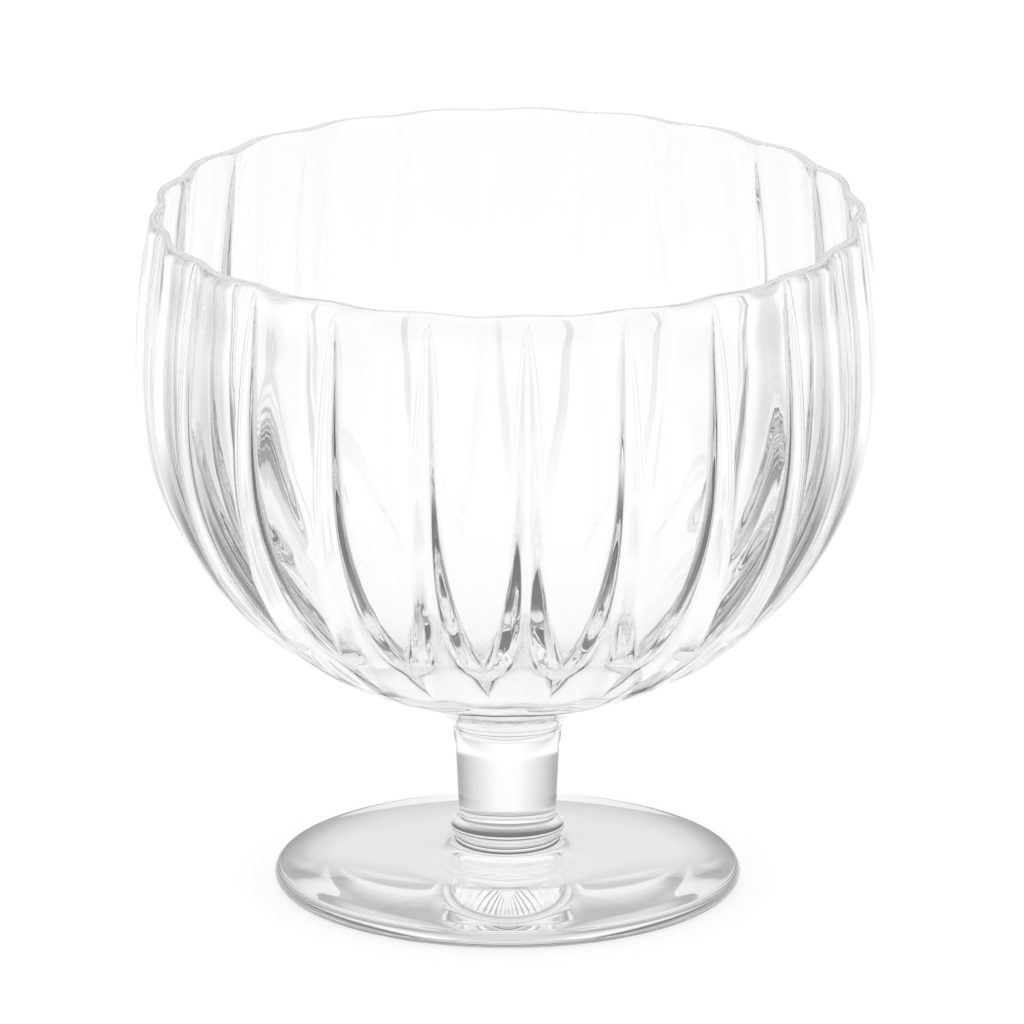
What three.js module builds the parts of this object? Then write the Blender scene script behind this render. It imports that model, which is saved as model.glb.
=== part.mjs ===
// Footed glass bowl: a fluted round bowl on a short solid stem, with a rolled collar ring and a disc foot.
// Millimetres, +Z up, origin on the table below the centre of the foot.
// The four gathers of glass are stacked on one axis and meet on flat faces.
import * as THREE from "three";

// Foot: a disc with a full round edge, a low crown and a hollow underside that stands on a flat ring.
const FOOT_DIAMETER = 75.2;
const FOOT_EDGE_THICKNESS = 2.9;
const FOOT_HEIGHT = 7.9;
const FOOT_CROWN_HEIGHT = 6.0;
const FOOT_FILLET = 3.4;
const FOOT_RING_WIDTH = 4.2;
const FOOT_HOLLOW_DEPTH = 0.9;

// Collar: a rolled ring between the foot and the stem.
const COLLAR_DIAMETER = 18.3;
const COLLAR_SEAT_DIAMETER = 16.8;
const COLLAR_HEIGHT = 2.9;

// Stem: solid, a little narrower at its foot than under the bowl.
const STEM_FOOT_DIAMETER = 15.6;
const STEM_TOP_DIAMETER = 17.5;
const STEM_LENGTH = 15.0;
const STEM_FLARE_LENGTH = 3.0;
const STEM_TAPER = 0.35;

// Bowl: heights are stacked from the top of the stem to the lip.
const BOWL_DIAMETER = 120.1;
const BASE_RISE = 4.9;
const BELLY_DEPTH = 57.3;
const SHOULDER_HEIGHT = 25.0;
const BELLY_FULLNESS = 2.07;
const SHOULDER_CURVE = 90.6;
const FLARE_DIAMETER = 44.0;

// Bowl wall: the inside is a fuller curve, so the glass grows thicker towards the base.
const WALL_THICKNESS = 2.0;
const BASE_THICKNESS = 4.5;
const INSIDE_FULLNESS = 2.2;
const LIP_THICKNESS = 1.5;

// Flutes: shallow lobes on both faces of the wall, which run up into the wave of the lip and die out at the base.
const FLUTE_COUNT = 22;
const LOBE_DEPTH = 0.8;
const LOBE_ROUNDING = 0.5;
const LOBE_START_DIAMETER = 40.0;
const LOBE_FULL_DIAMETER = 120.0;
const FLOOR_START_DIAMETER = 76.0;
const FLOOR_FULL_DIAMETER = 94.0;
const LIP_WAVE_DEPTH = 2.0;
const LIP_ROUNDING = 0.6;
const LIP_FADE_HEIGHT = 40.0;

// Ridges: a sharp ridge inside, between every two lobes, widens and steepens from its tip below the lip.
const RIDGE_WIDTH = 3.4;
const RIDGE_TIP_DROP = 3.0;
const RIDGE_GROWTH_HEIGHT = 30.0;
const RIDGE_TIP_SLOPE = 25.0;
const RIDGE_LOW_SLOPE = 36.0;
const RIDGE_LOW_HEIGHT = 38.0;
const RIDGE_LEAST_WIDTH = 1.0;
const RIDGE_MOST_SHARE = 0.6;

// Facets
const LOBE_FACETS = 2;
const LATHE_FACETS = 48;
const CURVE_FACETS = 4;
const BASE_RINGS = 4;
const BELLY_RINGS = 9;
const SHOULDER_RINGS = 3;
const LIP_RINGS = 3;
const FLOOR_RINGS = 10;

// Heights and radii that follow from the sizes above.
const collarBottom = FOOT_HEIGHT;
const stemBottom = collarBottom + COLLAR_HEIGHT;
const bowlSeat = stemBottom + STEM_LENGTH;
const bellyBottom = bowlSeat + BASE_RISE;
const bowlCentre = bellyBottom + BELLY_DEPTH;
const lipTop = bowlCentre + SHOULDER_HEIGHT;
const lipHeight = SHOULDER_HEIGHT - LIP_THICKNESS / 2;
const ridgeTip = lipTop - RIDGE_TIP_DROP;
const ridgeLow = bowlSeat + RIDGE_LOW_HEIGHT;
const collarSeatRadius = COLLAR_SEAT_DIAMETER / 2;
const stemFootRadius = STEM_FOOT_DIAMETER / 2;
const stemTopRadius = STEM_TOP_DIAMETER / 2;
const bowlRadius = BOWL_DIAMETER / 2;
const insideRadius = bowlRadius - WALL_THICKNESS;
const insideDepth = BELLY_DEPTH - BASE_THICKNESS;

const { clamp, degToRad, lerp, smoothstep } = THREE.MathUtils;

// Clear soda-lime glass, one material for each gather.
function glass(name) {
  return new THREE.MeshStandardMaterial({
    name,
    color: 0xf4f7f6,
    roughness: 0.04,
    metalness: 0,
    transparent: true,
    opacity: 0.35,
  });
}

// A solid of revolution from a path in (radius, height) that starts and ends on the axis.
function turned(name, path) {
  const geometry = new THREE.LatheGeometry(path.getPoints(CURVE_FACETS), LATHE_FACETS);
  geometry.rotateX(Math.PI / 2);
  const mesh = new THREE.Mesh(geometry, glass(name));
  mesh.name = name;
  return mesh;
}

// Disc foot, drawn from the middle of its hollow out over the edge to the seat of the collar.
function foot() {
  const edge = FOOT_EDGE_THICKNESS / 2;
  const flatRadius = FOOT_DIAMETER / 2 - edge;
  const ringRadius = flatRadius - FOOT_RING_WIDTH;
  const filletRadius = collarSeatRadius + FOOT_FILLET;
  const crownRadius = (flatRadius + filletRadius) / 2;
  const path = new THREE.Path();
  path.moveTo(0, FOOT_HOLLOW_DEPTH);
  path.quadraticCurveTo(ringRadius / 2, FOOT_HOLLOW_DEPTH, ringRadius, 0);
  path.lineTo(flatRadius, 0);
  path.absarc(flatRadius, edge, edge, -Math.PI / 2, Math.PI / 2, false);
  path.quadraticCurveTo(crownRadius, FOOT_CROWN_HEIGHT, filletRadius, FOOT_CROWN_HEIGHT);
  path.quadraticCurveTo(collarSeatRadius, FOOT_CROWN_HEIGHT, collarSeatRadius, FOOT_HEIGHT);
  path.lineTo(0, FOOT_HEIGHT);
  return turned("foot", path);
}

// Rolled ring: its side swells out past both of its seats.
function stemCollar() {
  const swell = COLLAR_DIAMETER - (collarSeatRadius + stemFootRadius) / 2;
  const middle = collarBottom + COLLAR_HEIGHT / 2;
  const path = new THREE.Path();
  path.moveTo(0, collarBottom);
  path.lineTo(collarSeatRadius, collarBottom);
  path.quadraticCurveTo(swell, middle, stemFootRadius, stemBottom);
  path.lineTo(0, stemBottom);
  return turned("stem_collar", path);
}

// Solid stem: a slow taper, then a short flare up to the bowl.
function stem() {
  const shaftTop = bowlSeat - STEM_FLARE_LENGTH;
  const shaftRadius = stemTopRadius - STEM_TAPER;
  const path = new THREE.Path();
  path.moveTo(0, stemBottom);
  path.lineTo(stemFootRadius, stemBottom);
  path.lineTo(shaftRadius, shaftTop);
  path.quadraticCurveTo(stemTopRadius, (shaftTop + bowlSeat) / 2, stemTopRadius, bowlSeat);
  path.lineTo(0, bowlSeat);
  return turned("stem", path);
}

// Point of a superellipse belly at a given angle below the widest line.
function bellyPoint(radius, depth, fullness, angle) {
  const across = Math.pow(Math.cos(angle), 2 / fullness);
  const down = Math.pow(Math.sin(angle), 2 / fullness);
  return new THREE.Vector2(radius * across, bowlCentre - depth * down);
}

// Point of the shoulder, an ellipse that leans in from the widest line to the lip.
function shoulderPoint(radius, height) {
  const lean = Math.sqrt(1 - (height / SHOULDER_CURVE) ** 2);
  return new THREE.Vector2(radius * lean, bowlCentre + height);
}

// Steps from 0 to 1, with the first left out so that neighbouring curves share their end.
function steps(count) {
  return Array.from({ length: count }, (_, i) => (i + 1) / count);
}

// Flare under the bowl, from the rim of the stem's seat out to the belly.
function flarePoints(flareAngle) {
  const seat = new THREE.Vector2(stemTopRadius, bowlSeat);
  const end = bellyPoint(bowlRadius, BELLY_DEPTH, BELLY_FULLNESS, flareAngle);
  const before = bellyPoint(bowlRadius, BELLY_DEPTH, BELLY_FULLNESS, flareAngle - 1e-3);
  const slope = (before.y - end.y) / (before.x - end.x);
  const corner = new THREE.Vector2(stemTopRadius, end.y - slope * (end.x - stemTopRadius));
  const curve = new THREE.QuadraticBezierCurve(seat, corner, end);
  return [seat, ...steps(BASE_RINGS).map((t) => curve.getPoint(t))];
}

// Outside of the bowl from the stem's seat to just below the lip.
function outsidePoints() {
  const flareShare = FLARE_DIAMETER / BOWL_DIAMETER;
  const flareAngle = Math.acos(Math.pow(flareShare, BELLY_FULLNESS / 2));
  const belly = steps(BELLY_RINGS).map((t) =>
    bellyPoint(bowlRadius, BELLY_DEPTH, BELLY_FULLNESS, flareAngle * (1 - t)),
  );
  const shoulder = steps(SHOULDER_RINGS).map((t) => shoulderPoint(bowlRadius, lipHeight * t));
  return [...flarePoints(flareAngle), ...belly, ...shoulder];
}

// Round lip between the two faces of the wall.
function lipPoints() {
  const half = LIP_THICKNESS / 2;
  const outer = shoulderPoint(bowlRadius, lipHeight).x;
  const arc = new THREE.EllipseCurve(outer - half, bowlCentre + lipHeight, half, half, 0, Math.PI);
  return steps(LIP_RINGS).map((t) => arc.getPoint(t));
}

// Inside of the bowl from just below the lip to the ring next to the middle of the floor.
function insidePoints() {
  const shoulder = steps(SHOULDER_RINGS).map((t) => {
    const point = shoulderPoint(bowlRadius, lipHeight * (1 - t));
    point.x -= lerp(LIP_THICKNESS, WALL_THICKNESS, t);
    return point;
  });
  const floor = steps(FLOOR_RINGS)
    .slice(0, -1)
    .map((t) => bellyPoint(insideRadius, insideDepth, INSIDE_FULLNESS, (Math.PI / 2) * t));
  return [...shoulder, ...floor];
}

// Depth of the valley between two lobes: 1 at its bottom, 0 on the crown of a lobe, round at the bottom.
function valley(turn, rounding) {
  const soft = (x) => Math.sqrt(x * x + rounding * rounding) - rounding;
  return (1 - soft(turn) / soft(1)) ** 2;
}

// Half the width of a full-grown ridge at a height.
function ridgeReach(height) {
  const grown = clamp((ridgeTip - height) / RIDGE_GROWTH_HEIGHT, 0, 1);
  return (RIDGE_WIDTH / 2) * Math.sqrt(grown);
}

// Slope of a ridge's sides at a height.
function ridgeSlope(height) {
  const share = clamp((ridgeTip - height) / (ridgeTip - ridgeLow), 0, 1);
  return Math.tan(degToRad(lerp(RIDGE_TIP_SLOPE, RIDGE_LOW_SLOPE, share)));
}

// Places across a flute: the valley is at 0, a ridge ends at the edge, and the crowns are at -1 and 1.
function flutePlaces(edge) {
  const side = [edge, ...steps(LOBE_FACETS).map((t) => lerp(edge, 1, t))];
  const otherSide = side.slice(0, -1).map((place) => -place);
  return [...otherSide.reverse(), 0, ...side];
}

// One ring of the fluted skin: its points are pressed towards the middle of the bowl along each valley.
function fluteRing(point, grown, reach) {
  const toLip = smoothstep(point.y, lipTop - LIP_FADE_HEIGHT, lipTop);
  const press = lerp(LOBE_DEPTH * grown, LIP_WAVE_DEPTH, toLip);
  const rounding = lerp(LOBE_ROUNDING, LIP_ROUNDING, toLip);
  const inward = new THREE.Vector2(point.x, Math.min(point.y - bowlCentre, 0)).normalize();
  const halfFlute = Math.PI / FLUTE_COUNT;
  const band = Math.max(reach, RIDGE_LEAST_WIDTH / 2) / (halfFlute * point.x);
  const places = flutePlaces(Math.min(band, RIDGE_MOST_SHARE));
  const flutes = Array.from({ length: FLUTE_COUNT }, (_, i) => 2 * i * halfFlute - Math.PI / 2);
  const fluteSide = (middle, place) => {
    const ridge = place === 0 ? reach * ridgeSlope(point.y) : 0;
    const depth = press * valley(Math.abs(place), rounding) + ridge;
    const radius = point.x - inward.x * depth;
    const heading = middle + place * halfFlute;
    const height = point.y - inward.y * depth;
    return new THREE.Vector3(radius * Math.cos(heading), radius * Math.sin(heading), height);
  };
  return flutes.flatMap((middle) => places.map((place) => fluteSide(middle, place)));
}

// Ring of the outside or the lip.
function outerRing(point) {
  return fluteRing(point, smoothstep(2 * point.x, LOBE_START_DIAMETER, LOBE_FULL_DIAMETER), 0);
}

// Ring of the inside, with its ridges.
function innerRing(point) {
  const grown = smoothstep(2 * point.x, FLOOR_START_DIAMETER, FLOOR_FULL_DIAMETER);
  return fluteRing(point, grown, grown * ridgeReach(point.y));
}

// Closed skin over a stack of rings, with a point on the axis at each end.
function skin(start, rings, end) {
  const count = rings[0].length;
  const points = [start, ...rings.flat(), end];
  const last = points.length - 1;
  const index = [];
  for (let i = 0; i < count; i++) {
    const next = (i + 1) % count;
    index.push(0, 1 + next, 1 + i);
    for (let ring = 0; ring < rings.length - 1; ring++) {
      const low = 1 + ring * count;
      const high = low + count;
      index.push(low + i, low + next, high + next);
      index.push(low + i, high + next, high + i);
    }
    index.push(last, last - count + i, last - count + next);
  }
  const geometry = new THREE.BufferGeometry().setFromPoints(points);
  geometry.setIndex(index);
  geometry.computeVertexNormals();
  return geometry;
}

// Fluted bowl: the skin runs up the outside, over the lip and down the inside.
function flutedBowl() {
  const outer = [...outsidePoints(), ...lipPoints()].map(outerRing);
  const inner = insidePoints().map(innerRing);
  const under = new THREE.Vector3(0, 0, bowlSeat);
  const floor = new THREE.Vector3(0, 0, bowlCentre - insideDepth);
  const mesh = new THREE.Mesh(skin(under, [...outer, ...inner], floor), glass("fluted_bowl"));
  mesh.name = "fluted_bowl";
  return mesh;
}

const footedBowl = new THREE.Group();
footedBowl.name = "footed_bowl";
footedBowl.add(foot(), stemCollar(), stem(), flutedBowl());

export default footedBowl;
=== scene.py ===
"""Looks of a clear glass footed bowl: a fluted round bowl, a solid stem, a rolled collar and a disc foot."""
import logging
import math
from dataclasses import dataclass
from enum import Enum
from typing import Any

import bmesh
import bpy
import numpy as np
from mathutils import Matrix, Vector


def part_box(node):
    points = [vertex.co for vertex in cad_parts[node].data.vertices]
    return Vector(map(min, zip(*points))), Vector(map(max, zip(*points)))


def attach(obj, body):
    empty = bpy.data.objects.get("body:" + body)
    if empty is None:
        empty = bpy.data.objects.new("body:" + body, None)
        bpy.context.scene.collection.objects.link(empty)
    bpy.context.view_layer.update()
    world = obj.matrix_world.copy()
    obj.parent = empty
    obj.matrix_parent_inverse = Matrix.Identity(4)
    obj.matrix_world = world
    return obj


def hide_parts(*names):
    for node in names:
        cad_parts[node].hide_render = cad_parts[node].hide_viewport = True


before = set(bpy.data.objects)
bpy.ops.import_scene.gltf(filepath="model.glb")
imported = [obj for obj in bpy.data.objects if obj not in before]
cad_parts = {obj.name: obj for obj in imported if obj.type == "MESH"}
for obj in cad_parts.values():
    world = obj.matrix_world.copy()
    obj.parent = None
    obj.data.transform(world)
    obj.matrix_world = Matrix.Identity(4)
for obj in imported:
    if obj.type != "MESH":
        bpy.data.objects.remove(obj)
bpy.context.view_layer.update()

LOG = logging.getLogger("footed_bowl")
MM = 0.001
BODY = "root"
# How far a point of a fused face may lie from its seat, in mm.
SEAT_TOLERANCE = 0.001
# Number of mirrorings at the end of the curve of the painted shade that mirrored light meets.
MIRROR_RANGE = 16.0
MOST_BOUNCES = 96
GLASS_BOUNCES = 64
QUARTER_TURN = 90.0
EIGHTH_TURN = 45.0
# Faces of the glass that light has passed, halfway to the face that takes it into or out of a wall.
INTO_GLASS = 0.5
INTO_SECOND_WALL = 2.5
OUT_OF_SECOND_WALL = 3.5
# From the heading to the share of a quarter turn from the line of sight.
ACROSS_STEPS: list[tuple] = [
    ("quarters", "MULTIPLY", "compass", 4.0),
    ("ahead", "PINGPONG", "quarters", 1.0),
    ("across", "SUBTRACT", 1.0, "ahead"),
]


class Wall(Enum):
    """The three stretches of the bowl's wall, in the order in which its outline runs."""

    OUTSIDE = "outside"
    LIP = "lip"
    INSIDE = "inside"


def linear(hex_colour: str) -> tuple[float, float, float, float]:
    """Turn an sRGB hex colour into linear light.

    Args:
        hex_colour: Six hex digits, such as "F4F7F6".

    Returns:
        Red, green and blue from 0 to 1, and an alpha of 1.
    """
    parts = [int(hex_colour[i:i + 2], 16) / 255 for i in (0, 2, 4)]
    light = [p / 12.92 if p <= 0.04045 else ((p + 0.055) / 1.055) ** 2.4 for p in parts]
    return (light[0], light[1], light[2], 1.0)


def add_node(
    tree: bpy.types.NodeTree,
    kind: str,
    settings: dict[str, Any] | None = None,
    inputs: dict[str | int, Any] | None = None,
) -> bpy.types.Node:
    """Add one node to a tree, with its settings, values and links.

    Args:
        tree: The tree that gets the node.
        kind: The node's type name.
        settings: Properties of the node.
        inputs: Input sockets by name or place, each with a value or the output socket that feeds it.

    Returns:
        The new node.
    """
    node = tree.nodes.new(kind)
    for name, value in (settings or {}).items():
        setattr(node, name, value)
    for key, value in (inputs or {}).items():
        if isinstance(value, bpy.types.NodeSocket):
            tree.links.new(value, node.inputs[key])
        else:
            node.inputs[key].default_value = value
    return node


def add_steps(
    tree: bpy.types.NodeTree, values: dict[str, bpy.types.NodeSocket], steps: list[tuple]
) -> None:
    """Work a rule out in a tree, step by step.

    Args:
        tree: The tree that gets the rule.
        values: Output sockets by name, to which each step adds its result.
        steps: For each step its name, its operation, and the names or numbers that it works on.
    """
    for name, operation, *terms in steps:
        inputs = {i: values.get(term, term) for i, term in enumerate(terms)}
        values[name] = add_node(tree, "ShaderNodeMath", {"operation": operation}, inputs).outputs[0]


def set_stops(ramp: bpy.types.ColorRamp, stops: list[tuple[float, float]]) -> None:
    """Give a colour ramp its grey stops.

    Args:
        ramp: A ramp with its two first stops.
        stops: Places from 0 to 1 with the grey level there, in rising order.
    """
    while len(ramp.elements) < len(stops):
        ramp.elements.new(1.0)
    for element, (place, grey) in zip(ramp.elements, stops):
        element.position = place
        element.color = (grey, grey, grey, 1.0)


def stops_at(places: tuple[float, ...], whole: float, levels: tuple[float, ...]) -> list[tuple[float, float]]:
    """Pair the places of a curve's stops with their levels.

    Args:
        places: Where the stops are.
        whole: The place that counts as 1.
        levels: The level at each place.

    Returns:
        Places as shares of the whole, each with its level.
    """
    return [(place / whole, level) for place, level in zip(places, levels)]


def add_curves(
    tree: bpy.types.NodeTree,
    values: dict[str, bpy.types.NodeSocket],
    curves: dict[str, tuple[str, list[tuple[float, float]]]],
) -> None:
    """Add curves to a tree, each as a grey ramp.

    Args:
        tree: The tree that gets them.
        values: Output sockets by name, to which each curve adds its level.
        curves: For each curve the name of the value that it follows, and its stops.
    """
    for name, (source, stops) in curves.items():
        ramp = add_node(tree, "ShaderNodeValToRGB", None, {0: values[source]})
        set_stops(ramp.color_ramp, stops)
        values[name] = ramp.outputs[0]


def add_compass(tree: bpy.types.NodeTree, place: bpy.types.NodeSocket, turned: float) -> bpy.types.NodeSocket:
    """Add the heading of a place about the axis.

    Args:
        tree: The tree that gets it.
        place: The place, from the axis.
        turned: Degrees by which the compass is turned about the axis.

    Returns:
        The heading, as a share of a full turn.
    """
    facing = add_node(tree, "ShaderNodeMapping", {"vector_type": "TEXTURE"}, {
        "Vector": place,
        "Rotation": (0.0, 0.0, math.radians(turned)),
    })
    heading = add_node(tree, "ShaderNodeTexGradient", {"gradient_type": "RADIAL"}, {0: facing.outputs[0]})
    return heading.outputs["Fac"]


def smoothstep(value: np.ndarray, low: float, high: float) -> np.ndarray:
    """Rise smoothly from 0 at low to 1 at high.

    Args:
        value: Where to take the curve.
        low: Where it leaves 0.
        high: Where it reaches 1.

    Returns:
        The curve at each value.
    """
    share = np.clip((value - low) / (high - low), 0, 1)
    return share * share * (3 - 2 * share)


def bend(start: tuple, corner: tuple, end: tuple, count: int) -> np.ndarray:
    """Draw a quadratic curve, without its first point.

    Args:
        start: Radius and height where the curve starts.
        corner: The point that pulls the curve.
        end: Radius and height where it ends.
        count: How many points to give.

    Returns:
        The points, one row each.
    """
    t = np.linspace(0, 1, count + 1)[1:, None]
    ends = (1 - t) ** 2 * np.array(start) + t ** 2 * np.array(end)
    return ends + 2 * t * (1 - t) * np.array(corner)


@dataclass(frozen=True)
class ClearGlass:
    """Soda-lime glass, fire-polished: colourless, sharp reflections, slow ripples left by the hot skin.

    Attributes:
        name: The material's name.
        tint: sRGB colour that a thick wall takes on.
        ripple_spacing: Distance between the ripples in mm.
        ripple_depth: Height of the ripples in mm.
        ior: Index of refraction of soda-lime glass.
    """

    name: str
    tint: str = "FDFEFE"
    ripple_spacing: float = 9.0
    ripple_depth: float = 0.004
    ior: float = 1.5

    def material(self) -> bpy.types.Material:
        """Make the glass, with its ripples on the piece's own coordinates."""
        material = bpy.data.materials.new(self.name)
        material.use_nodes = True
        tree = material.node_tree
        shader = tree.nodes["Principled BSDF"]
        shader.inputs["Base Color"].default_value = linear(self.tint)
        shader.inputs["Roughness"].default_value = 0.0
        shader.inputs["IOR"].default_value = self.ior
        shader.inputs["Transmission Weight"].default_value = 1.0
        place = add_node(tree, "ShaderNodeTexCoord")
        ripple = add_node(tree, "ShaderNodeTexNoise", None, {
            "Vector": place.outputs["Object"],
            "Scale": 1 / (self.ripple_spacing * MM),
            "Detail": 1.0,
        })
        bump = add_node(tree, "ShaderNodeBump", None, {
            "Height": ripple.outputs[0],
            "Strength": 1.0,
            "Distance": self.ripple_depth * MM,
        })
        tree.links.new(bump.outputs[0], shader.inputs["Normal"])
        return material


@dataclass(frozen=True)
class FusedJoint:
    """Where two gathers were joined hot the glass runs on, so nothing shows there.

    Attributes:
        name: The material's name.
    """

    name: str = "glass_fused_joint"

    def material(self) -> bpy.types.Material:
        """Make the invisible skin of a fused joint."""
        material = bpy.data.materials.new(self.name)
        material.use_nodes = True
        material.node_tree.nodes["Principled BSDF"].inputs["Alpha"].default_value = 0.0
        return material


@dataclass
class Piece:
    """One gather of glass, which stands for the solid of the same name.

    Attributes:
        node: Name of the piece and of its solid.
        slot: The record's material slot; not used.
        glass: Its glass.
        fused: The skin where it joins its neighbours.
    """

    node: str
    slot: str
    glass: bpy.types.Material
    fused: bpy.types.Material

    def __post_init__(self) -> None:
        """Take the piece's place from the solid."""
        low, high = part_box(self.node)
        self.bottom = low.z / MM
        self.top = high.z / MM
        self.radius = high.x / MM

    def seats(self) -> tuple[float, ...]:
        """Heights in mm of the flat faces that are fused to a neighbour."""
        return ()

    def mesh(self) -> bpy.types.Mesh:
        """Make the piece's mesh."""
        raise NotImplementedError

    def build(self) -> bpy.types.Object:
        """Make the piece, dress it and tie it to its body.

        Returns:
            The finished piece.
        """
        piece = bpy.data.objects.new(f"{self.node}_glass", self.mesh())
        bpy.context.scene.collection.objects.link(piece)
        self.dress(piece.data)
        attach(piece, BODY)
        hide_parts(self.node)
        return piece

    def dress(self, mesh: bpy.types.Mesh) -> None:
        """Give the skin its glass and the seats their fused joint, with a sharp edge between them.

        Args:
            mesh: The piece's mesh.
        """
        mesh.materials.clear()
        mesh.materials.append(self.glass)
        mesh.materials.append(self.fused)
        work = bmesh.new()
        work.from_mesh(mesh)
        for face in work.faces:
            heights = [v.co.z / MM for v in face.verts]
            fused = any(max(abs(h - s) for h in heights) < SEAT_TOLERANCE for s in self.seats())
            face.material_index = int(fused)
            face.smooth = not fused
        for edge in work.edges:
            kinds = {face.material_index for face in edge.link_faces}
            edge.smooth = len(kinds) == 1
        work.to_mesh(mesh)
        work.free()


@dataclass
class TurnedPiece(Piece):
    """A gather that is round about the axis.

    Attributes:
        facets: Faces round the axis.
        curve_points: Points on each curve of the outline.
    """

    facets: int = 144
    curve_points: int = 20

    def outline(self) -> np.ndarray:
        """Radius and height of the outline in mm, from the axis below to the axis above."""
        raise NotImplementedError

    def mesh(self) -> bpy.types.Mesh:
        """Turn the outline about the axis.

        Returns:
            The closed mesh, in metres.
        """
        outline = self.outline()
        turns = np.linspace(0, 2 * math.pi, self.facets, endpoint=False)
        points = [(0.0, 0.0, outline[0][1])]
        for radius, height in outline[1:-1]:
            points += [(radius * math.cos(a), radius * math.sin(a), height) for a in turns]
        points.append((0.0, 0.0, outline[-1][1]))
        last = len(points) - 1
        faces = []
        for i in range(self.facets):
            j = (i + 1) % self.facets
            faces.append((0, 1 + j, 1 + i))
            for low in range(1, last - self.facets, self.facets):
                faces.append((low + i, low + j, low + self.facets + j, low + self.facets + i))
            faces.append((last, last - self.facets + i, last - self.facets + j))
        mesh = bpy.data.meshes.new(self.node)
        mesh.from_pydata((np.array(points) * MM).tolist(), [], faces)
        return mesh


@dataclass
class Foot(TurnedPiece):
    """Cast disc foot with a round edge, a low crown and a shallow hollow below. Sizes in mm.

    Attributes:
        edge_thickness: Height of the round edge.
        crown_height: Height of the disc next to the collar.
        fillet: How far the crown runs out from the collar.
        seat_diameter: Width of the collar's seat.
        ring_width: Width of the flat ring that stands on the table.
        hollow_depth: Depth of the hollow inside that ring.
    """

    edge_thickness: float = 2.9
    crown_height: float = 6.0
    fillet: float = 3.4
    seat_diameter: float = 16.8
    ring_width: float = 4.2
    hollow_depth: float = 0.9

    def seats(self) -> tuple[float, ...]:
        """The collar stands on top."""
        return (self.top,)

    def outline(self) -> np.ndarray:
        """Radius and height of the foot, from the middle of its hollow to the middle of its seat."""
        edge = self.edge_thickness / 2
        flat = self.radius - edge
        ring = flat - self.ring_width
        seat = self.seat_diameter / 2
        shoulder = seat + self.fillet
        crown = ((flat + shoulder) / 2, self.crown_height)
        turn = np.linspace(-math.pi / 2, math.pi / 2, self.curve_points)[1:]
        rim = np.stack([flat + edge * np.cos(turn), edge + edge * np.sin(turn)], axis=1)
        return np.concatenate([
            [(0, self.hollow_depth)],
            bend((0, self.hollow_depth), (ring / 2, self.hollow_depth), (ring, 0), self.curve_points),
            [(flat, 0)],
            rim,
            bend((flat, 2 * edge), crown, (shoulder, self.crown_height), self.curve_points),
            bend((shoulder, self.crown_height), (seat, self.crown_height), (seat, self.top), self.curve_points),
            [(0, self.top)],
        ])


@dataclass
class StemCollar(TurnedPiece):
    """Rolled ring between the stem and the foot. Sizes in mm.

    Attributes:
        seat_diameter: Width where it stands on the foot.
        stem_diameter: Width where the stem stands on it.
    """

    seat_diameter: float = 16.8
    stem_diameter: float = 15.6

    def seats(self) -> tuple[float, ...]:
        """The foot lies below and the stem stands on top."""
        return (self.bottom, self.top)

    def outline(self) -> np.ndarray:
        """Radius and height of the ring, which swells past both of its seats."""
        lower = self.seat_diameter / 2
        upper = self.stem_diameter / 2
        swell = (2 * self.radius - (lower + upper) / 2, (self.bottom + self.top) / 2)
        return np.concatenate([
            [(0, self.bottom), (lower, self.bottom)],
            bend((lower, self.bottom), swell, (upper, self.top), self.curve_points),
            [(0, self.top)],
        ])


@dataclass
class Stem(TurnedPiece):
    """Short solid stem, a little narrower at its foot. Sizes in mm.

    Attributes:
        foot_diameter: Width on the collar.
        taper: How much narrower the shaft is than the seat of the bowl, on the radius.
        flare_length: Height over which it widens to that seat.
    """

    foot_diameter: float = 15.6
    taper: float = 0.35
    flare_length: float = 3.0

    def seats(self) -> tuple[float, ...]:
        """The collar lies below and the bowl stands on top."""
        return (self.bottom, self.top)

    def outline(self) -> np.ndarray:
        """Radius and height of the stem: a slow taper, then a short flare."""
        foot = self.foot_diameter / 2
        shaft = (self.radius - self.taper, self.top - self.flare_length)
        middle = ((foot + shaft[0]) / 2, (self.bottom + shaft[1]) / 2)
        flare = (self.radius, self.top - self.flare_length / 2)
        return np.concatenate([
            [(0, self.bottom), (foot, self.bottom)],
            bend((foot, self.bottom), middle, shaft, self.curve_points // 2),
            bend(shaft, flare, (self.radius, self.top), self.curve_points // 2),
            [(0, self.top)],
        ])


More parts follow.
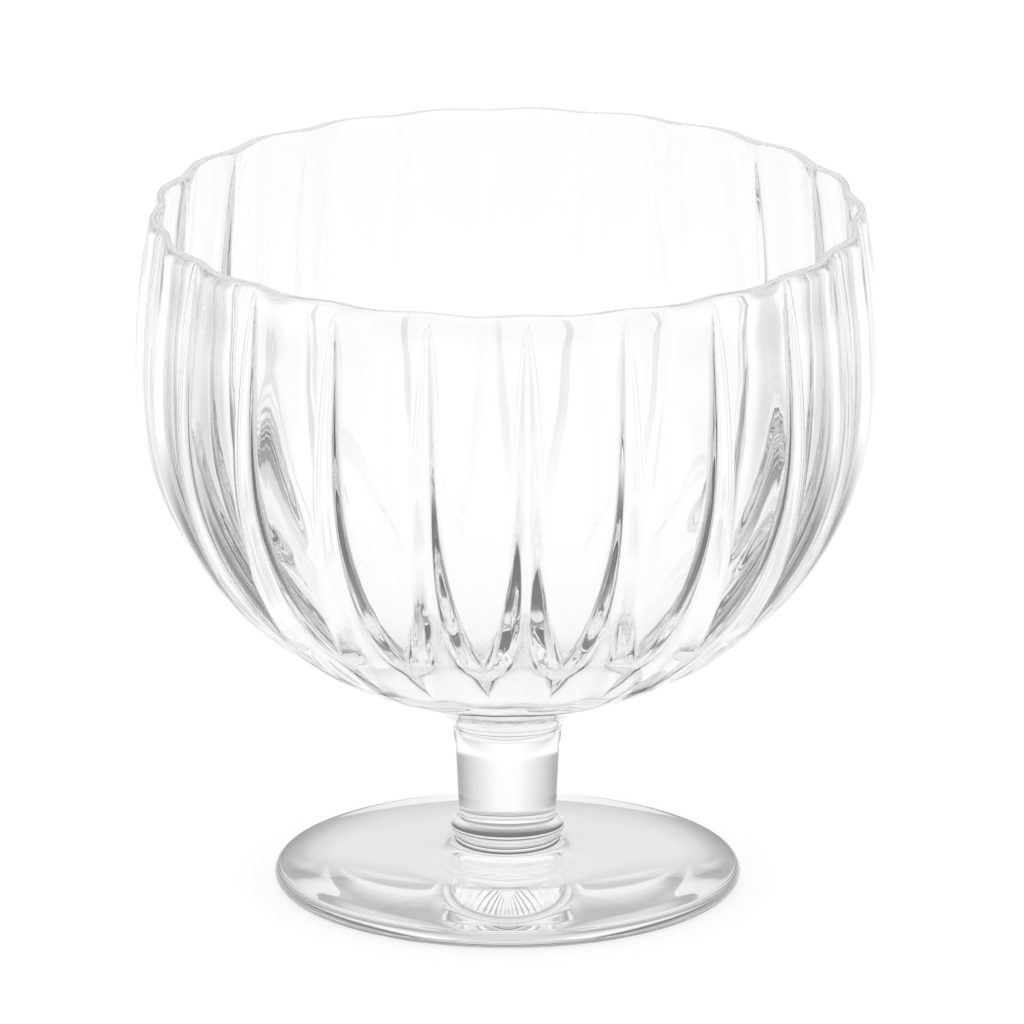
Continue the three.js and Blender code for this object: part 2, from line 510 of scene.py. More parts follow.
@dataclass
class FlutedBowl(Piece):
    """The bowl, blown in a ribbed mould: shallow lobes, and a ridge inside between every two of them.

    Low on the bowl the ridges widen, so that the hollows between them end round, as petals. The sizes are in mm,
    and the slopes in degrees.

    Attributes:
        seat_diameter: Width of the stem below it.
        shoulder_height: From the widest line up to the lip.
        base_rise: From the stem up to the lowest point that the belly's curve would reach.
        fullness: Power of the belly's curve, where 2 is an ellipse.
        shoulder_curve: Height at which the shoulder's curve would close.
        flare_diameter: Where the belly turns into the flare above the stem.
        wall: Thickness of the wall at the widest line.
        base: Thickness of the floor.
        inside_fullness: Power of the inside's curve.
        lip: Thickness of the round lip.
        lip_blend: Height over which the lip's thickness grows to the wall's.
        flutes: Number of flutes.
        lobe_depth: Depth of the valleys between the lobes, on both faces.
        lobe_start: Outside diameter where the lobes begin.
        lobe_full: Outside diameter where they reach their depth.
        floor_start: Inside diameter where the lobes and ridges begin.
        floor_full: Inside diameter where they reach their depth.
        lip_wave: Depth of the lip's wave.
        lip_fade: Height over which the wave runs out into the lobes.
        lobe_rounding: Share of a half flute over which a valley is round.
        lip_rounding: The same at the lip.
        ridge_width: Half the width of a ridge.
        ridge_tip: From the lip down to the ridge's pointed tip.
        ridge_growth: Height over which the ridge widens from its tip.
        tip_slope: Slope of the ridge's sides at its tip.
        low_slope: Slope of its sides low on the belly.
        low_slope_height: Height above the stem's seat where that slope is reached.
        ridge_softness: Rounding of the ridge's edge, as a share of its half width.
        ridge_height: Height at which a wide ridge is flat.
        flat_softness: Rounding where its sides turn into that flat.
        petal_start: Height above the stem's seat where the hollows between the ridges begin to narrow.
        petal_end: Height above the stem's seat where these hollows end, round as petals.
        flat_start: Inside diameter where the flat rises from the floor.
        flat_full: Inside diameter where it is whole.
    """

    seat_diameter: float = 17.5
    shoulder_height: float = 25.0
    base_rise: float = 4.9
    fullness: float = 2.07
    shoulder_curve: float = 90.6
    flare_diameter: float = 44.0
    wall: float = 2.0
    base: float = 4.5
    inside_fullness: float = 2.2
    lip: float = 1.5
    lip_blend: float = 12.0
    flutes: int = 22
    lobe_depth: float = 0.8
    lobe_start: float = 40.0
    lobe_full: float = 120.0
    floor_start: float = 76.0
    floor_full: float = 94.0
    lip_wave: float = 1.1
    lip_fade: float = 40.0
    lobe_rounding: float = 0.5
    lip_rounding: float = 0.6
    ridge_width: float = 1.7
    ridge_tip: float = 3.0
    ridge_growth: float = 30.0
    tip_slope: float = 25.0
    low_slope: float = 38.0
    low_slope_height: float = 38.0
    ridge_softness: float = 0.4
    ridge_height: float = 2.7
    flat_softness: float = 1.0
    petal_start: float = 60.0
    petal_end: float = 22.0
    flat_start: float = 56.0
    flat_full: float = 84.0

    GRADES = ("lobe", "lip", "ridge", "flat", "slope")
    HALF_COLUMNS = 13
    RIDGE_COLUMNS = 6
    COLUMN_SPREAD = 1.3
    LEAST_BAND = 0.5
    MOST_BAND = 0.97
    MERGE = 0.001
    ANGLE_STEP = 0.001
    FLARE_RINGS = 8
    BELLY_RINGS = 36
    SHOULDER_RINGS = 12
    LIP_RINGS = 10
    FLOOR_RINGS = 80

    def __post_init__(self) -> None:
        """Take the bowl's place from the solid, and work out the height of its widest line."""
        super().__post_init__()
        self.centre = self.top - self.shoulder_height
        self.depth = self.centre - self.bottom - self.base_rise
        self.lip_height = self.shoulder_height - self.lip / 2

    def seats(self) -> tuple[float, ...]:
        """The stem stands below."""
        return (self.bottom,)

    def belly(self, radius: float, depth: float, power: float, angles: np.ndarray) -> np.ndarray:
        """Points of a superellipse at angles below the widest line.

        Args:
            radius: Its radius on the widest line.
            depth: How far it reaches below that line.
            power: Its power, where 2 is an ellipse.
            angles: Angles in radians.

        Returns:
            Radius and height of each point.
        """
        across = radius * np.cos(angles) ** (2 / power)
        down = depth * np.sin(angles) ** (2 / power)
        return np.stack([across, self.centre - down], axis=1)

    def shoulder(self, radius: float, heights: np.ndarray) -> np.ndarray:
        """Points of the shoulder, which leans in from the widest line.

        Args:
            radius: Its radius on the widest line.
            heights: Heights above that line.

        Returns:
            Radius and height of each point.
        """
        lean = np.sqrt(1 - (heights / self.shoulder_curve) ** 2)
        return np.stack([radius * lean, self.centre + heights], axis=1)

    def outside(self) -> np.ndarray:
        """Outline of the outside, from the axis on the stem's seat to just below the lip."""
        angle = math.acos((self.flare_diameter / 2 / self.radius) ** (self.fullness / 2))
        near, end = self.belly(self.radius, self.depth, self.fullness, np.array([angle - self.ANGLE_STEP, angle]))
        slope = (near[1] - end[1]) / (near[0] - end[0])
        seat = (self.seat_diameter / 2, self.bottom)
        corner = (seat[0], end[1] - slope * (end[0] - seat[0]))
        rise = angle * (1 - np.linspace(0, 1, self.BELLY_RINGS + 1)[1:])
        return np.concatenate([
            [(0, self.bottom), seat],
            bend(seat, corner, tuple(end), self.FLARE_RINGS),
            self.belly(self.radius, self.depth, self.fullness, rise),
            self.shoulder(self.radius, np.linspace(0, self.lip_height, self.SHOULDER_RINGS + 1)[1:]),
        ])

    def lip_arc(self) -> np.ndarray:
        """Outline of the round lip, from the outside to the inside."""
        half = self.lip / 2
        outer = self.shoulder(self.radius, np.array([self.lip_height]))[0][0]
        turn = np.linspace(0, math.pi, self.LIP_RINGS + 1)[1:]
        return np.stack(
            [outer - half + half * np.cos(turn), self.centre + self.lip_height + half * np.sin(turn)], axis=1
        )

    def inside(self) -> np.ndarray:
        """Outline of the inside, from just below the lip to the axis on the floor."""
        heights = np.linspace(self.lip_height, 0, self.SHOULDER_RINGS + 1)[1:]
        thin = smoothstep(heights, self.lip_height - self.lip_blend, self.lip_height)
        upper = self.shoulder(self.radius, heights)
        upper[:, 0] -= self.wall + (self.lip - self.wall) * thin
        angles = np.linspace(0, math.pi / 2, self.FLOOR_RINGS + 1)[1:]
        floor = self.belly(self.radius - self.wall, self.depth - self.base, self.inside_fullness, angles)
        floor[-1][0] = 0
        return np.concatenate([upper, floor])

    def blank(self) -> bpy.types.Mesh:
        """Make the flat pattern of one flute.

        Its points hold radius, place across the flute from -1 to 1, and height. Its attributes say how far the
        lobe, the lip's wave and the ridge are grown there, and how steep the ridge's sides are.

        Returns:
            The pattern, in metres.
        """
        stretches = {Wall.OUTSIDE: self.outside(), Wall.LIP: self.lip_arc(), Wall.INSIDE: self.inside()}
        outline = np.concatenate(list(stretches.values()))
        walls = np.repeat([w.value for w in stretches], [len(s) for s in stretches.values()])
        radius, height = outline.T
        inside = walls == Wall.INSIDE.value
        lobe = np.where(
            inside,
            smoothstep(2 * radius, self.floor_start, self.floor_full),
            smoothstep(2 * radius, self.lobe_start, self.lobe_full),
        )
        below_tip = self.top - self.ridge_tip - height
        slender = self.ridge_width * np.sqrt(np.clip(below_tip / self.ridge_growth, 0, 1))
        closing = (self.bottom + self.petal_start - height) / (self.petal_start - self.petal_end)
        hollow = np.sqrt(1 - np.clip(closing, 0, 1) ** 2)
        half_flute = math.pi * radius / self.flutes
        ridge = half_flute - (half_flute - slender) * hollow
        fall = below_tip / (self.top - self.ridge_tip - self.bottom - self.low_slope_height)
        slope = self.tip_slope + (self.low_slope - self.tip_slope) * np.clip(fall, 0, 1)
        grades = {
            "lobe": lobe,
            "lip": smoothstep(height, self.top - self.lip_fade, self.top),
            "ridge": np.where(inside, ridge / self.ridge_width, 0),
            "flat": smoothstep(2 * radius, self.flat_start, self.flat_full),
            "slope": np.tan(np.radians(slope)),
        }
        across = np.linspace(-1, 1, 2 * self.HALF_COLUMNS + 1)
        count = len(across)
        points = [(r * MM, u, h * MM) for r, h in outline for u in across]
        faces = [
            (k + i, k + i + 1, k + count + i + 1, k + count + i)
            for k in range(0, len(points) - count, count)
            for i in range(count - 1)
        ]
        mesh = bpy.data.meshes.new("flute_pattern")
        mesh.from_pydata(points, [], faces)
        for name, values in grades.items():
            mesh.attributes.new(name, "FLOAT", "POINT").data.foreach_set("value", np.repeat(values, count))
        return mesh

    def sizes(self) -> dict[str, float]:
        """Named inputs of the flute tree, in metres, shares and counts."""
        return {
            "Flutes": self.flutes,
            "Widest Height": self.centre * MM,
            "Lobe Depth": self.lobe_depth * MM,
            "Lip Wave": self.lip_wave * MM,
            "Lobe Rounding": self.lobe_rounding,
            "Lip Rounding": self.lip_rounding,
            "Ridge Width": self.ridge_width * MM,
            "Ridge Softness": self.ridge_softness,
            "Ridge Height": self.ridge_height * MM,
            "Flat Softness": self.flat_softness * MM,
            "Least Band": self.LEAST_BAND * MM,
        }

    def rule(self) -> list[tuple]:
        """The shape of a flute as steps: a name, an operation, and what it works on."""
        edge = self.RIDGE_COLUMNS / self.HALF_COLUMNS
        return [
            # Half a flute along the arc, and the band of columns that the ridge takes up.
            ("arc", "MULTIPLY", "radius", math.pi),
            ("half", "DIVIDE", "arc", "Flutes"),
            ("width", "MULTIPLY", "ridge", "Ridge Width"),
            ("wide_band", "MAXIMUM", "width", "Least Band"),
            ("most_band", "MULTIPLY", "half", self.MOST_BAND),
            ("band", "MINIMUM", "wide_band", "most_band"),
            # Distance from the ridge's edge line along the arc.
            ("side", "ABSOLUTE", "across"),
            ("whole_share", "DIVIDE", "side", edge),
            ("share", "MINIMUM", "whole_share", 1.0),
            ("past_edge", "SUBTRACT", "side", edge),
            ("past_part", "DIVIDE", "past_edge", 1 - edge),
            ("past_side", "MAXIMUM", "past_part", 0.0),
            ("past", "POWER", "past_side", self.COLUMN_SPREAD),
            ("lobe_side", "SUBTRACT", "half", "band"),
            ("in_band", "MULTIPLY", "band", "share"),
            ("distance", "MULTIPLY_ADD", "lobe_side", "past", "in_band"),
            ("turn", "DIVIDE", "distance", "half"),
            # Valley between the lobes: 1 at its bottom, 0 on the crown of the lobe.
            ("more_rounding", "SUBTRACT", "Lip Rounding", "Lobe Rounding"),
            ("rounding", "MULTIPLY_ADD", "more_rounding", "lip", "Lobe Rounding"),
            ("rounding_square", "MULTIPLY", "rounding", "rounding"),
            ("turn_square", "MULTIPLY_ADD", "turn", "turn", "rounding_square"),
            ("turn_root", "SQRT", "turn_square"),
            ("soft_turn", "SUBTRACT", "turn_root", "rounding"),
            ("crown_square", "ADD", "rounding_square", 1.0),
            ("crown_root", "SQRT", "crown_square"),
            ("soft_crown", "SUBTRACT", "crown_root", "rounding"),
            ("soft_share", "DIVIDE", "soft_turn", "soft_crown"),
            ("left", "SUBTRACT", 1.0, "soft_share"),
            ("valley", "MULTIPLY", "left", "left"),
            # Depth of the valley here, blended into the lip's wave.
            ("lobe_press", "MULTIPLY", "Lobe Depth", "lobe"),
            ("more_press", "SUBTRACT", "Lip Wave", "lobe_press"),
            ("press", "MULTIPLY_ADD", "more_press", "lip", "lobe_press"),
            # Ridge with straight sides and a rounded edge, or flat on top where it is wide.
            ("edge_radius", "MULTIPLY", "width", "Ridge Softness"),
            ("edge_square", "MULTIPLY", "edge_radius", "edge_radius"),
            ("distance_square", "MULTIPLY_ADD", "distance", "distance", "edge_square"),
            ("soft_distance", "SQRT", "distance_square"),
            ("ridge_side", "SUBTRACT", "width", "soft_distance"),
            ("ridge_part", "ADD", "ridge_side", "edge_radius"),
            ("ridge_reach", "MAXIMUM", "ridge_part", 0.0),
            ("ridge_peak", "MULTIPLY", "ridge_reach", "slope"),
            ("ridge_flat", "MULTIPLY", "Ridge Height", "flat"),
            ("ridge_rise", "SMOOTH_MIN", "ridge_peak", "ridge_flat", "Flat Softness"),
            ("pressed", "MULTIPLY_ADD", "press", "valley", "ridge_rise"),
            # The wall is pressed towards the middle of the bowl.
            ("drop", "SUBTRACT", "height", "Widest Height"),
            ("below", "MINIMUM", "drop", 0.0),
            ("radius_square", "MULTIPLY", "radius", "radius"),
            ("reach_square", "MULTIPLY_ADD", "below", "below", "radius_square"),
            ("reach", "SQRT", "reach_square"),
            ("pull", "DIVIDE", "pressed", "reach"),
            ("kept", "SUBTRACT", 1.0, "pull"),
            ("ring", "MULTIPLY", "radius", "kept"),
            ("lift", "MULTIPLY", "below", "pull"),
            ("level", "SUBTRACT", "height", "lift"),
            # A valley faces -Y.
            ("half_turn", "DIVIDE", math.pi, "Flutes"),
            ("swing", "MULTIPLY", "half_turn", "turn"),
            ("hand", "SIGN", "across"),
            ("heading", "MULTIPLY", "swing", "hand"),
            ("sine", "SINE", "heading"),
            ("cosine", "COSINE", "heading"),
            ("x", "MULTIPLY", "ring", "sine"),
            ("away", "MULTIPLY", "ring", "cosine"),
            ("y", "MULTIPLY", "away", -1.0),
            ("full_turn", "MULTIPLY", "half_turn", 2.0),
        ]

    def tree(self) -> bpy.types.NodeTree:
        """Build the tree that shapes one flute and sets it round the axis.

        Returns:
            The geometry node tree, with the bowl's sizes as named inputs.
        """
        tree = bpy.data.node_groups.new("flutes", "GeometryNodeTree")
        tree.interface.new_socket("Geometry", in_out="INPUT", socket_type="NodeSocketGeometry")
        for name, value in self.sizes().items():
            kind = "NodeSocketInt" if isinstance(value, int) else "NodeSocketFloat"
            tree.interface.new_socket(name, in_out="INPUT", socket_type=kind)
        tree.interface.new_socket("Material", in_out="INPUT", socket_type="NodeSocketMaterial")
        tree.interface.new_socket("Geometry", in_out="OUTPUT", socket_type="NodeSocketGeometry")
        given = add_node(tree, "NodeGroupInput")
        place = add_node(tree, "GeometryNodeInputPosition")
        parts = add_node(tree, "ShaderNodeSeparateXYZ", None, {0: place.outputs[0]})
        values: dict[str, bpy.types.NodeSocket] = {name: given.outputs[name] for name in self.sizes()}
        values |= dict(zip(("radius", "across", "height"), parts.outputs))
        for name in self.GRADES:
            grade = add_node(tree, "GeometryNodeInputNamedAttribute", {"data_type": "FLOAT"}, {"Name": name})
            values[name] = grade.outputs["Attribute"]
        add_steps(tree, values, self.rule())
        spot = add_node(tree, "ShaderNodeCombineXYZ", None, {0: values["x"], 1: values["y"], 2: values["level"]})
        flute = add_node(tree, "GeometryNodeSetPosition", None, {
            "Geometry": given.outputs["Geometry"],
            "Position": spot.outputs[0],
        })
        order = add_node(tree, "GeometryNodeInputIndex")
        angle = add_node(tree, "ShaderNodeMath", {"operation": "MULTIPLY"}, {
            0: order.outputs[0],
            1: values["full_turn"],
        })
        spin = add_node(tree, "FunctionNodeAxisAngleToRotation", None, {
            "Axis": (0.0, 0.0, 1.0),
            "Angle": angle.outputs[0],
        })
        stations = add_node(tree, "GeometryNodePoints", None, {"Count": given.outputs["Flutes"]})
        round_axis = add_node(tree, "GeometryNodeInstanceOnPoints", None, {
            "Points": stations.outputs[0],
            "Instance": flute.outputs[0],
            "Rotation": spin.outputs[0],
        })
        solid = add_node(tree, "GeometryNodeRealizeInstances", None, {0: round_axis.outputs[0]})
        closed = add_node(tree, "GeometryNodeMergeByDistance", None, {
            "Geometry": solid.outputs[0],
            "Distance": self.MERGE * MM,
        })
        dressed = add_node(tree, "GeometryNodeSetMaterial", None, {
            "Geometry": closed.outputs[0],
            "Material": given.outputs["Material"],
        })
        add_node(tree, "NodeGroupOutput", None, {0: dressed.outputs[0]})
        return tree

    def mesh(self) -> bpy.types.Mesh:
        """Run the flute tree on the pattern and keep the result as a plain mesh.

        Returns:
            The closed mesh of the bowl, in metres.
        """
        pattern = bpy.data.objects.new("flute_pattern", self.blank())
        bpy.context.scene.collection.objects.link(pattern)
        tree = self.tree()
        flutes = pattern.modifiers.new("flutes", "NODES")
        flutes.node_group = tree
        given = self.sizes() | {"Material": self.glass}
        for item in tree.interface.items_tree:
            if item.in_out == "INPUT" and item.name in given:
                flutes[item.identifier] = given[item.name]
        pattern.update_tag()
        done = pattern.evaluated_get(bpy.context.evaluated_depsgraph_get())
        mesh = bpy.data.meshes.new_from_object(done)
        pattern.modifiers.remove(flutes)
        bpy.data.objects.remove(pattern)
        for name in self.GRADES:
            mesh.attributes.remove(mesh.attributes[name])
        mesh.name = self.node
        return mesh


@dataclass(frozen=True)
class WhiteSweep:
    """White studio ground, matt painted: it glows a little, so that it reads as white and keeps a soft shadow.

    Its colour also holds painted shade that the camera never sees and that only light passed or mirrored in the
    glass
    meets: pale grey between four white openings, for what two walls of the glass bend aside; dark round the foot,
    for what is mirrored inside the glass; grey at the sides, for what the stem and the foot bend aside; and
    darker further out at the sides, for what the bowl's edges bend far aside. This paints the dark lines, edges
    and shading in the glass.

    Attributes:
        name: Name of the ground and of its material.
        size: Width of the ground in metres.
        drop: How far it lies below the foot in mm.
        paint: Grey level of its paint.
        glow: Light that it gives off by itself.
        painted_screen: Grey level of the painted shade met by what two walls of the glass bend aside.
        painted_screen_angles: Degrees from the middle of an opening where it begins, is whole, thins and ends.
        painted_screen_reach: Distances from the axis in mm where it begins and is whole.
        painted_mat: Darkness of the painted shade round the foot, met by what is mirrored inside the glass.
        painted_mat_reach: Distances from the axis in mm where that painted shade begins, is whole, thins and
            ends.
        mirror_counts: Number of mirrorings where that painted shade begins to show, is whole, thins and ends.
        mirrored_often: How much of that painted shade is left for light mirrored many times, as in the lip.
        painted_wing: Darkness of the painted shade far out at the sides, met by what the bowl's edges bend far
            aside.
        painted_wing_angles: Degrees from the line of sight where it begins and is whole.
        painted_wing_reach: Distances from the axis in mm where it begins, is whole, thins and ends.
        painted_flag: Darkness of the painted shade at the sides, met by what the stem and the foot bend aside.
        painted_flag_angles: Degrees from the line of sight where it begins and is whole.
        painted_flag_reach: Distances from the axis in mm where it begins, is whole, thins and ends.
    """

    name: str = "white_sweep"
    size: float = 40.0
    drop: float = 0.1
    paint: float = 0.5
    glow: float = 0.66
    painted_screen: float = 0.78
    painted_screen_angles: tuple[float, float, float, float] = (13.5, 17.0, 34.0, 38.0)
    painted_screen_reach: tuple[float, float] = (140.0, 260.0)
    painted_mat: float = 0.85
    painted_mat_reach: tuple[float, float, float, float] = (31.0, 35.0, 140.0, 260.0)
    mirror_counts: tuple[float, float, float, float] = (0.4, 1.0, 4.0, 8.0)
    mirrored_often: float = 0.1
    painted_wing: float = 0.9
    painted_wing_angles: tuple[float, float] = (58.0, 72.0)
    painted_wing_reach: tuple[float, float, float, float] = (40.0, 60.0, 350.0, 500.0)
    painted_flag: float = 0.8
    painted_flag_angles: tuple[float, float] = (6.0, 68.0)
    painted_flag_reach: tuple[float, float, float, float] = (30.0, 38.0, 100.0, 130.0)

    def curves(self) -> dict[str, tuple[str, list[tuple[float, float]]]]:
        """What each curve follows, and its stops: places from 0 to 1 with the level there."""
        metre = 1 / MM
        rising = (0.0, 1.0)
        # Levels of the painted shade that only light passed or mirrored in the glass meets.
        painted_screen = (1.0, self.painted_screen, self.painted_screen, 1.0)
        painted_mat, painted_wing, painted_flag = ((0.0, dark, dark, 0.0) for dark in (self.painted_mat, self.painted_wing, self.painted_flag))
        mirrored = (0.0, 1.0, 1.0, self.mirrored_often)
        return {
            "painted_screens": ("aside", stops_at(self.painted_screen_angles, EIGHTH_TURN, painted_screen)),
            "sideways": ("across", stops_at(self.painted_flag_angles, QUARTER_TURN, rising)),
            "distant": ("metres", stops_at(self.painted_screen_reach, metre, rising)),
            "painted_mat": ("metres", stops_at(self.painted_mat_reach, metre, painted_mat)),
            "far_sideways": ("across", stops_at(self.painted_wing_angles, QUARTER_TURN, rising)),
            "painted_wings": ("metres", stops_at(self.painted_wing_reach, metre, painted_wing)),
            "painted_flags": ("metres", stops_at(self.painted_flag_reach, metre, painted_flag)),
            "mirrored": ("count", stops_at(self.mirror_counts, MIRROR_RANGE, mirrored)),
        }

    def rule(self) -> list[tuple]:
        """The ground's tone with its painted shade for the glass, as steps: a name, an operation, and what it
        works on.
        """
        return [
            # Painted grey shade on the ground, met only by what has passed more than one wall of the glass.
            ("past_wall", "GREATER_THAN", "transmissions", INTO_SECOND_WALL),
            ("painted_screen_share", "MULTIPLY", "past_wall", "distant"),
            ("painted_screen_loss", "SUBTRACT", 1.0, "painted_screens"),
            ("painted_screen_darkening", "MULTIPLY", "painted_screen_share", "painted_screen_loss"),
            ("painted_screen_tone", "SUBTRACT", 1.0, "painted_screen_darkening"),
            # Painted dark shade round the foot, for what was mirrored inside the glass; painted shade at the
            # sides, for what has passed one wall at most; painted shade further out at the sides, for all that
            # has entered the glass.
            ("entered", "GREATER_THAN", "transmissions", INTO_GLASS),
            ("painted_mat_share", "MULTIPLY", "painted_mat", "mirrored"),
            ("one_wall", "LESS_THAN", "transmissions", OUT_OF_SECOND_WALL),
            ("painted_flag_side", "MULTIPLY", "painted_flags", "sideways"),
            ("painted_flag_share", "MULTIPLY", "painted_flag_side", "one_wall"),
            ("painted_wing_share", "MULTIPLY", "painted_wings", "far_sideways"),
            ("side_share", "MAXIMUM", "painted_flag_share", "painted_wing_share"),
            ("painted_shade_share", "MAXIMUM", "painted_mat_share", "side_share"),
            ("painted_shade_darkening", "MULTIPLY", "painted_shade_share", "entered"),
            ("painted_shade_tone", "SUBTRACT", 1.0, "painted_shade_darkening"),
            ("tone", "MULTIPLY", "painted_screen_tone", "painted_shade_tone"),
            ("paint", "MULTIPLY", "tone", self.paint),
            ("glow", "MULTIPLY", "tone", self.glow),
        ]

    def material(self, turned: float) -> bpy.types.Material:
        """Make the ground's paint, with the painted shade that only light passed or mirrored in the glass meets.

        Args:
            turned: Degrees by which the openings are turned about the axis.

        Returns:
            The material.
        """
        material = bpy.data.materials.new(self.name)
        material.use_nodes = True
        tree = material.node_tree
        tree.nodes.clear()
        place = add_node(tree, "ShaderNodeTexCoord")
        metres = add_node(tree, "ShaderNodeVectorMath", {"operation": "LENGTH"}, {0: place.outputs["Object"]})
        path = add_node(tree, "ShaderNodeLightPath")
        values = {
            "compass": add_compass(tree, place.outputs["Object"], turned),
            "metres": metres.outputs["Value"],
            "transmissions": path.outputs["Transmission Depth"],
            "mirrorings": path.outputs["Glossy Depth"],
        }
        add_steps(tree, values, ACROSS_STEPS + [
            # Share of an eighth turn from the middle of the nearest opening.
            ("eighths", "MULTIPLY", "compass", 8.0),
            ("aside", "PINGPONG", "eighths", 1.0),
            ("count", "DIVIDE", "mirrorings", MIRROR_RANGE),
        ])
        add_curves(tree, values, self.curves())
        add_steps(tree, values, self.rule())
        paint = add_node(tree, "ShaderNodeBsdfDiffuse", None, {"Color": values["paint"]})
        glow = add_node(tree, "ShaderNodeEmission", None, {"Strength": values["glow"]})
        both = add_node(tree, "ShaderNodeAddShader", None, {0: paint.outputs[0], 1: glow.outputs[0]})
        add_node(tree, "ShaderNodeOutputMaterial", None, {"Surface": both.outputs[0]})
        return material

    def build(self, turned: float) -> bpy.types.Object:
        """Lay the ground below the foot.

        Args:
            turned: Degrees by which the openings are turned about the axis.

        Returns:
            The ground.
        """
        half = self.size / 2
        corners = [(x * half, y * half, 0) for x, y in ((-1, -1), (1, -1), (1, 1), (-1, 1))]
        mesh = bpy.data.meshes.new(self.name)
        mesh.from_pydata(corners, [], [(0, 1, 2, 3)])
        mesh.materials.append(self.material(turned))
        ground = bpy.data.objects.new(self.name, mesh)
        ground.location.z = -self.drop * MM
        bpy.context.scene.collection.objects.link(ground)
        return ground


@dataclass(frozen=True)
class SoftDome:
    """Even white light from all round, with grey in it that only the glass sees: a low ring and two low panels.

    Attributes:
        name: Name of the world.
        strength: Light that it gives. Looked at, also in and through the glass, it is white.
        ring: Grey level of the ring.
        ring_heights: Elevations in degrees where the ring begins, is whole, thins and ends.
        panel: Grey level of the panels at the sides.
        panel_angles: Degrees from the line of sight where a panel begins and is whole.
        panel_heights: Elevations in degrees where a panel thins and ends.
    """

    name: str = "soft_dome"
    strength: float = 0.8
    ring: float = 0.4
    ring_heights: tuple[float, float, float, float] = (0.0, 0.5, 9.0, 28.0)
    panel: float = 0.5
    panel_angles: tuple[float, float] = (40.0, 50.0)
    panel_heights: tuple[float, float] = (22.0, 30.0)

    def curves(self) -> dict[str, tuple[str, list[tuple[float, float]]]]:
        """What each curve follows, and its stops: places from 0 to 1 with the level there."""
        ring_rises, panel_rises = (
            tuple(math.sin(math.radians(height)) for height in heights)
            for heights in (self.ring_heights, self.panel_heights)
        )
        return {
            "ring": ("rise", stops_at(ring_rises, 1.0, (1.0, self.ring, self.ring, 1.0))),
            "low": ("rise", stops_at(panel_rises, 1.0, (1.0, 0.0))),
            "sideways": ("across", stops_at(self.panel_angles, QUARTER_TURN, (0.0, 1.0))),
        }

    def build(self, turned: float) -> bpy.types.World:
        """Make the dome and hang it over the scene.

        Args:
            turned: Degrees by which the line of sight is turned about the axis.

        Returns:
            The world.
        """
        world = bpy.data.worlds.new(self.name)
        world.use_nodes = True
        tree = world.node_tree
        tree.nodes.clear()
        place = add_node(tree, "ShaderNodeTexCoord")
        parts = add_node(tree, "ShaderNodeSeparateXYZ", None, {0: place.outputs["Generated"]})
        path = add_node(tree, "ShaderNodeLightPath")
        values = {
            "compass": add_compass(tree, place.outputs["Generated"], turned),
            "rise": parts.outputs["Z"],
            "transmissions": path.outputs["Transmission Depth"],
            "glossy": path.outputs["Is Glossy Ray"],
            "bent": path.outputs["Is Transmission Ray"],
            "direct": path.outputs["Is Camera Ray"],
        }
        add_steps(tree, values, ACROSS_STEPS)
        add_curves(tree, values, self.curves())
        add_steps(tree, values, [
            ("entered", "GREATER_THAN", "transmissions", INTO_GLASS),
            ("panel_place", "MULTIPLY", "sideways", "low"),
            ("panel_met", "MULTIPLY", "panel_place", "entered"),
            ("panel_loss", "MULTIPLY", "panel_met", 1 - self.panel),
            ("panel_tone", "SUBTRACT", 1.0, "panel_loss"),
            ("seen", "MULTIPLY", "ring", "panel_tone"),
            ("through", "MAXIMUM", "glossy", "bent"),
            ("seen_loss", "SUBTRACT", 1.0, "seen"),
            ("loss", "MULTIPLY", "seen_loss", "through"),
            ("tone", "SUBTRACT", 1.0, "loss"),
            ("given", "MULTIPLY", "tone", self.strength),
            ("looked_at", "MAXIMUM", "direct", "through"),
            ("shown", "MULTIPLY", "tone", "looked_at"),
            ("light", "MAXIMUM", "given", "shown"),
        ])
        light = add_node(tree, "ShaderNodeBackground", None, {
            "Color": (1.0, 1.0, 1.0, 1.0),
            "Strength": values["light"],
        })
        add_node(tree, "ShaderNodeOutputWorld", None, {"Surface": light.outputs[0]})
        bpy.context.scene.world = world
        return world


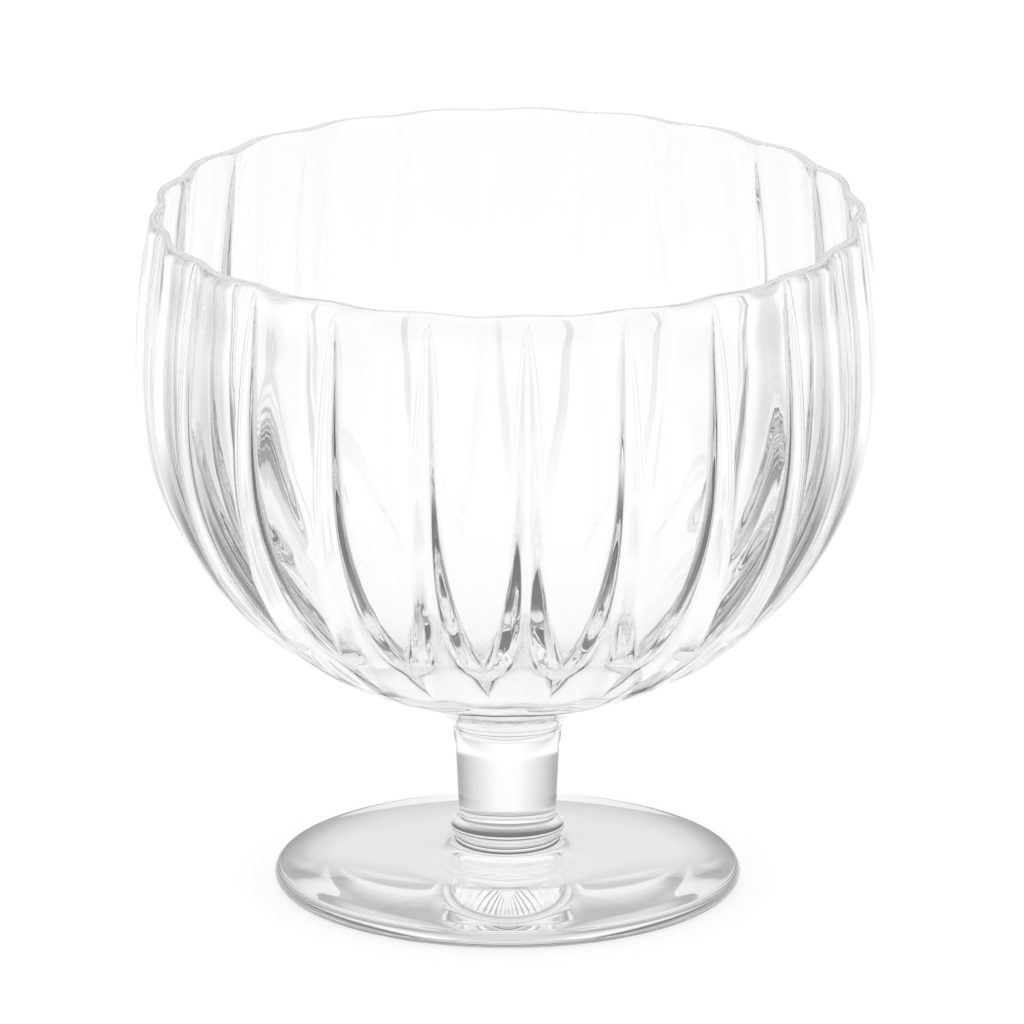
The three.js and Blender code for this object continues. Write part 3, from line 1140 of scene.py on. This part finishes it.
@dataclass(frozen=True)
class PhotoCamera:
    """Camera with the photograph's view and framing, for a picture of 1024 by 1024 pixels.

    Attributes:
        azimuth: Degrees about the axis from the -Y side.
        elevation: Degrees above the table.
        lens: Focal length in mm, long enough that the glass shows almost no perspective.
        sensor: Width of the sensor in mm.
        picture: Width of the picture in pixels.
        pixel: Size of a pixel on the object in mm.
        axis_x: Pixel column of the bowl's axis.
        table_y: Pixel row of the axis on the table.
    """

    azimuth: float = -3.2
    elevation: float = 17.6
    lens: float = 1500.0
    sensor: float = 36.0
    picture: float = 1024.0
    pixel: float = 0.16129
    axis_x: float = 507.5
    table_y: float = 878.9

    def build(self) -> bpy.types.Object:
        """Set the camera up and make it the scene's own.

        Returns:
            The camera.
        """
        turn = math.radians(self.azimuth)
        rise = math.radians(self.elevation)
        towards = Vector((math.sin(turn) * math.cos(rise), -math.cos(turn) * math.cos(rise), math.sin(rise)))
        right = Vector((math.cos(turn), math.sin(turn), 0))
        middle = self.picture / 2
        aim = Vector((0, 0, (self.table_y - middle) * self.pixel * MM / math.cos(rise)))
        aim += right * (middle - self.axis_x) * self.pixel * MM
        distance = self.picture * self.pixel * MM * self.lens / self.sensor
        data = bpy.data.cameras.new("photo_camera")
        data.lens = self.lens
        data.sensor_width = self.sensor
        data.clip_end = 2 * distance + WhiteSweep.size
        camera = bpy.data.objects.new("photo_camera", data)
        camera.location = aim + towards * distance
        camera.rotation_euler = (-towards).to_track_quat("-Z", "Y").to_euler()
        bpy.context.scene.collection.objects.link(camera)
        bpy.context.scene.camera = camera
        return camera


def set_light_paths() -> None:
    """Let light run through all the walls of the glass, and show colours as they are written."""
    scene = bpy.context.scene
    scene.cycles.max_bounces = MOST_BOUNCES
    scene.cycles.transmission_bounces = GLASS_BOUNCES
    scene.cycles.glossy_bounces = GLASS_BOUNCES
    scene.cycles.transparent_max_bounces = MOST_BOUNCES
    scene.view_settings.view_transform = "Standard"


def main() -> None:
    """Build the stage and the four gathers of glass in order."""
    logging.basicConfig(level=logging.INFO, format="%(name)s: %(message)s")
    view = PhotoCamera()
    view.build()
    SoftDome().build(view.azimuth)
    WhiteSweep().build(view.azimuth)
    set_light_paths()
    fused = FusedJoint().material()
    gathers = (
        Foot("foot", "foot_glass", ClearGlass("soda_lime_glass_cast").material(), fused),
        StemCollar("stem_collar", "collar_glass", ClearGlass("soda_lime_glass_tooled").material(), fused),
        Stem("stem", "stem_glass", ClearGlass("soda_lime_glass_drawn").material(), fused),
        FlutedBowl("fluted_bowl", "bowl_glass", ClearGlass("soda_lime_glass_blown").material(), fused),
    )
    for gather in gathers:
        piece = gather.build()
        LOG.info("%s: %d faces", piece.name, len(piece.data.polygons))


if __name__ == "__main__":
    main()
